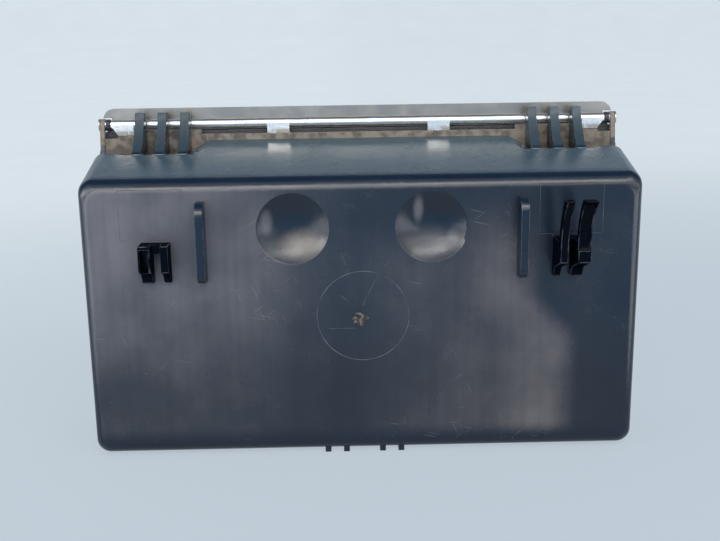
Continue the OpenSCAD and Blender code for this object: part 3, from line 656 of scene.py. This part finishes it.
def broken_gate():
    """A low lump of torn plastic, half sunk in the face."""
    mesh = bpy.data.meshes.new("gate_stub")
    shape = bmesh.new()
    bmesh.ops.create_icosphere(shape, subdivisions=4, radius=1.0)
    rough = np.random.default_rng(7).uniform(-1, 1, (24, 3))
    rough /= np.linalg.norm(rough, axis=1)[:, None]
    for vertex in shape.verts:
        nearest = float((rough @ np.array(vertex.co)).max())
        vertex.co *= 0.55 + 0.5 * nearest ** 12
        vertex.co = Vector([vertex.co[i] * STUB_SIZE[i] * MM for i in range(3)])
        vertex.co += Vector((ring_at.x + GATE_STUB[0] * MM, BACK_Y, ring_at.z + GATE_STUB[1] * MM))
    shape.to_mesh(mesh)
    shape.free()
    mesh.shade_smooth()
    piece = bpy.data.objects.new("gate_stub", mesh)
    bpy.context.scene.collection.objects.link(piece)
    finish = Finish("torn_plastic", Roughness=0.7)
    grime = finish.ramp(finish.noise(0.9, 3, 0.6), 0.42, 0.6)
    finish.drive(Base_Color=finish.mix(grime, (0.012, 0.013, 0.018, 1.0), (0.20, 0.17, 0.14, 1.0)),
                 Normal=finish.bump(finish.noise(0.5, 3), 0.05))
    return join_in(piece, "housing", finish.owner)


broken_gate()
insert_lines = beads("insert_lines", [frame_lines(side) for side in (-1, 1)], 0.05, dusty_line())


# ---------------------------------------------------------------------------------------------------------------------
# Hinge strip
# A strip of thin bright sheet, rolled round the hinge rod along its lower edge. Two tabs at its foot are bent down
# over the tub's lip, and its ends hang as short aprons. Its flange and aprons are darker and rougher than the roll.
# ---------------------------------------------------------------------------------------------------------------------
BRIGHT, DULL = (0.83, 0.83, 0.82, 1.0), (0.27, 0.26, 0.245, 1.0)
STAIN = (0.30, 0.22, 0.12, 1.0)


def two_tone_sheet():
    finish = Finish("two_tone_sheet", Metallic=1.0)
    x, _, z = finish.axes()
    drawn = finish.streaks((26, 8, 0.22), detail=3)
    blotch = finish.noise(5, 4, 0.6)
    # The flange and the aprons are darker and rougher than the roll.
    flange = finish.ramp(finish.ramp(z, 80.0, 80.6) + finish.ramp(abs(x), 63.3, 63.6), 0.0, 1.0)
    colour = finish.mix(flange * 0.9 + drawn * 0.1, BRIGHT, DULL)
    low = finish.ramp(z, 78.6, 77.4) * finish.ramp(finish.noise(3, 4, 0.6), 0.35, 0.55)
    pitted = finish.specks(1.7, 0.22) * finish.ramp(finish.noise(12, 2), 0.52, 0.62)
    colour = finish.mix(finish.ramp(low * 0.55 + pitted * 0.8, 0.0, 1.0), colour, STAIN)
    finish.drive(Base_Color=colour, Metallic=finish.ramp(low + pitted, 0.0, 1.0, 1.0, 0.35),
                 Roughness=0.2 + flange * 0.08 + drawn * 0.1 + finish.ramp(blotch, 0.4, 0.7) * 0.1 + pitted * 0.3,
                 Normal=finish.bump(drawn, 0.006))
    return finish.owner


strip = dressed("trim_strip", "hinge_strip", "housing", two_tone_sheet(), 0.06)


# ---------------------------------------------------------------------------------------------------------------------
# Hinge rod, its caps and the wave washers
# A drawn steel rod runs through the roll, with a pressed cap on each end and a spring washer inside each ear.
# ---------------------------------------------------------------------------------------------------------------------
def steel(name, bright, dark, rough):
    finish = Finish(name, Metallic=1.0)
    tarnish = finish.ramp(finish.noise(1.6, 4, 0.6), 0.35, 0.7)
    drawn = finish.streaks((8, 0.25, 0.25), detail=2)
    finish.drive(Base_Color=finish.mix(tarnish * 0.6 + drawn * 0.3, bright, dark),
                 Roughness=rough + tarnish * 0.2, Normal=finish.bump(drawn, 0.004))
    return finish.owner


rod_steel = steel("tarnished_rod_steel", (0.55, 0.54, 0.52, 1.0), (0.22, 0.19, 0.16, 1.0), 0.28)
spring = steel("blued_spring_steel", (0.42, 0.43, 0.45, 1.0), (0.14, 0.13, 0.13, 1.0), 0.25)
dressed("hinge_rod", "hinge_rod_steel", "housing", rod_steel, 0.1)
dressed("rod_caps", "rod_end_caps", "housing", rod_steel, 0.08)
dressed("wave_washers", "hinge_wave_washers", "housing", spring, 0.03)


# ---------------------------------------------------------------------------------------------------------------------
# Lid, finger pull and buffers
# The flap that closes the mouth is a black moulding with a fine leather grain and pressed grooves. It has a bright
# finger pull pushed onto it, and rubber buffers on pegs.
# ---------------------------------------------------------------------------------------------------------------------
def grained_moulding():
    finish = Finish("grained_moulding", IOR=1.48)
    grain = finish.node("ShaderNodeTexVoronoi", {"feature": "DISTANCE_TO_EDGE"},
                        {"Vector": finish.place(), "Scale": 1 / (0.8 * MM)})
    pebble = finish.ramp(grain, 0.0, 0.25)
    cloud = finish.noise(16, 3)
    wear = finish.edges() * finish.ramp(finish.noise(3, 3, 0.6), 0.4, 0.65)
    colour = finish.mix(finish.ramp(cloud, 0.35, 0.7) * 0.12, (0.012, 0.013, 0.016, 1.0), PALE_GREY)
    colour = finish.mix((1 - pebble) * 0.10, colour, PALE_GREY)
    finish.drive(Base_Color=finish.mix(wear * 0.4, colour, WORN), Roughness=0.42 + 0.15 * cloud,
                 Normal=finish.bump(pebble, 0.05))
    return finish.owner


def rubber():
    finish = Finish("buffer_rubber", Roughness=0.8)
    bloom = finish.ramp(finish.noise(0.8, 3), 0.4, 0.7)
    finish.drive(Base_Color=finish.mix(bloom * 0.3, (0.018, 0.018, 0.019, 1.0), (0.12, 0.12, 0.12, 1.0)),
                 Normal=finish.bump(finish.noise(0.3, 2), 0.01))
    return finish.owner


def pull_chrome():
    finish = Finish("pull_chrome", Metallic=1.0)
    hazy = finish.ramp(finish.noise(4, 4, 0.6), 0.4, 0.7)
    brushed = finish.streaks((14, 0.2, 0.2), detail=2)
    finish.drive(Base_Color=finish.mix(hazy * 0.3, (0.80, 0.80, 0.79, 1.0), (0.45, 0.44, 0.42, 1.0)),
                 Roughness=0.14 + hazy * 0.16 + brushed * 0.06)
    return finish.owner


dressed("lid", "flap_moulding", "flap", grained_moulding(), 0.15)
dressed("lid_pull", "flap_pull", "flap", pull_chrome(), 0.1)
dressed("lid_buffers", "flap_buffers", "flap", rubber(), 0.1)


# ---------------------------------------------------------------------------------------------------------------------
# Catch clip, cigarette rest and their rivets
# The clip is folded from spring steel and the rest from plated sheet. Both are riveted through the tub's bottom wall,
# whose rivet heads show from below. Heat and ash have stained the rest.
# ---------------------------------------------------------------------------------------------------------------------
def stained_plate():
    finish = Finish("stained_plate", Metallic=1.0)
    burnt = finish.ramp(finish.noise(6, 4, 0.65), 0.42, 0.7)
    ash = finish.ramp(finish.noise(2.5, 4, 0.6), 0.5, 0.7) * finish.upward()
    colour = finish.mix(burnt * 0.7, (0.62, 0.61, 0.58, 1.0), (0.20, 0.15, 0.10, 1.0))
    finish.drive(Base_Color=finish.mix(ash * 0.7, colour, ASH), Metallic=1.0 - ash * 0.8,
                 Roughness=0.25 + burnt * 0.2 + ash * 0.3)
    return finish.owner


rivet_metal = steel("rivet_metal", (0.68, 0.67, 0.64, 1.0), (0.32, 0.29, 0.25, 1.0), 0.3)
dressed("catch_clip", "catch_clip_spring", "housing", spring, 0.05)
dressed("catch_rivet", "catch_clip_rivet", "housing", rivet_metal, 0.1)
dressed("cigarette_rest", "cigarette_rest_plate", "housing", stained_plate(), 0.08)
dressed("rest_rivets", "cigarette_rest_rivets", "housing", rivet_metal, 0.1)


# ---------------------------------------------------------------------------------------------------------------------
# Report of where things show
# ---------------------------------------------------------------------------------------------------------------------
REACH = 48
corners, faces, owners = [], [], []
for piece in (tub, strip, gate_ring, insert_lines):
    faces += [[len(corners) + i for i in side.vertices] for side in piece.data.polygons]
    owners += [piece] * len(piece.data.polygons)
    corners += [vertex.co.copy() for vertex in piece.data.vertices]
scenery = BVHTree.FromPolygons(corners, faces)


def shown(name, piece, low, high):
    """The middle of the image points round one of the photograph's whose rays meet a piece inside a box in mm."""
    found = []
    for dx, dy in np.ndindex(2 * REACH + 1, 2 * REACH + 1):
        x, y = POINTS[name][0] + dx - REACH, POINTS[name][1] + dy - REACH
        place, _, face, _ = scenery.ray_cast(*image_ray(x, y))
        if place is not None and owners[face] is piece and all(low[i] <= place[i] / MM <= high[i] for i in range(3)):
            found.append((x, y))
    return (np.min(found, 0) + np.max(found, 0)) / 2


outline = np.array([image_of(v.co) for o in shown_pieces() if o.type == "MESH" for v in o.data.vertices])
seen = {
    "left_edge": outline[outline[:, 0].argmin()], "right_edge": outline[outline[:, 0].argmax()],
    "top_edge": outline[outline[:, 1].argmin()], "bottom_edge": outline[outline[:, 1].argmax()],
    "gate_ring": shown("gate_ring", gate_ring, (-20, -12, 20), (20, 0, 50)),
    "insert_outline_left": shown("insert_outline_left", insert_lines, (-60, -12, 40), (-35, 0, 70)),
    "tab_left": shown("tab_left", strip, (-24, 15, 70), (-17, 19, 78)),
    "tab_right": shown("tab_right", strip, (17, 15, 70), (24, 19, 78)),
    "rib_left": shown("rib_left", tub, (-39, -20, 40), (-36, FACE_Y - 0.3, 70)),
    "rib_right": shown("rib_right", tub, (36, -20, 40), (39, FACE_Y - 0.3, 70)),
    "dimple_left": shown("dimple_left", tub, (-26, FACE_Y + 0.05, 47), (-7, FACE_Y + 4, 66)),
    "dimple_right": shown("dimple_right", tub, (7, FACE_Y + 0.05, 47), (26, FACE_Y + 4, 66)),
    "hook_tip": shown("hook_tip", tub, (45, -30, 64.3), (47, -20, 66)),
}
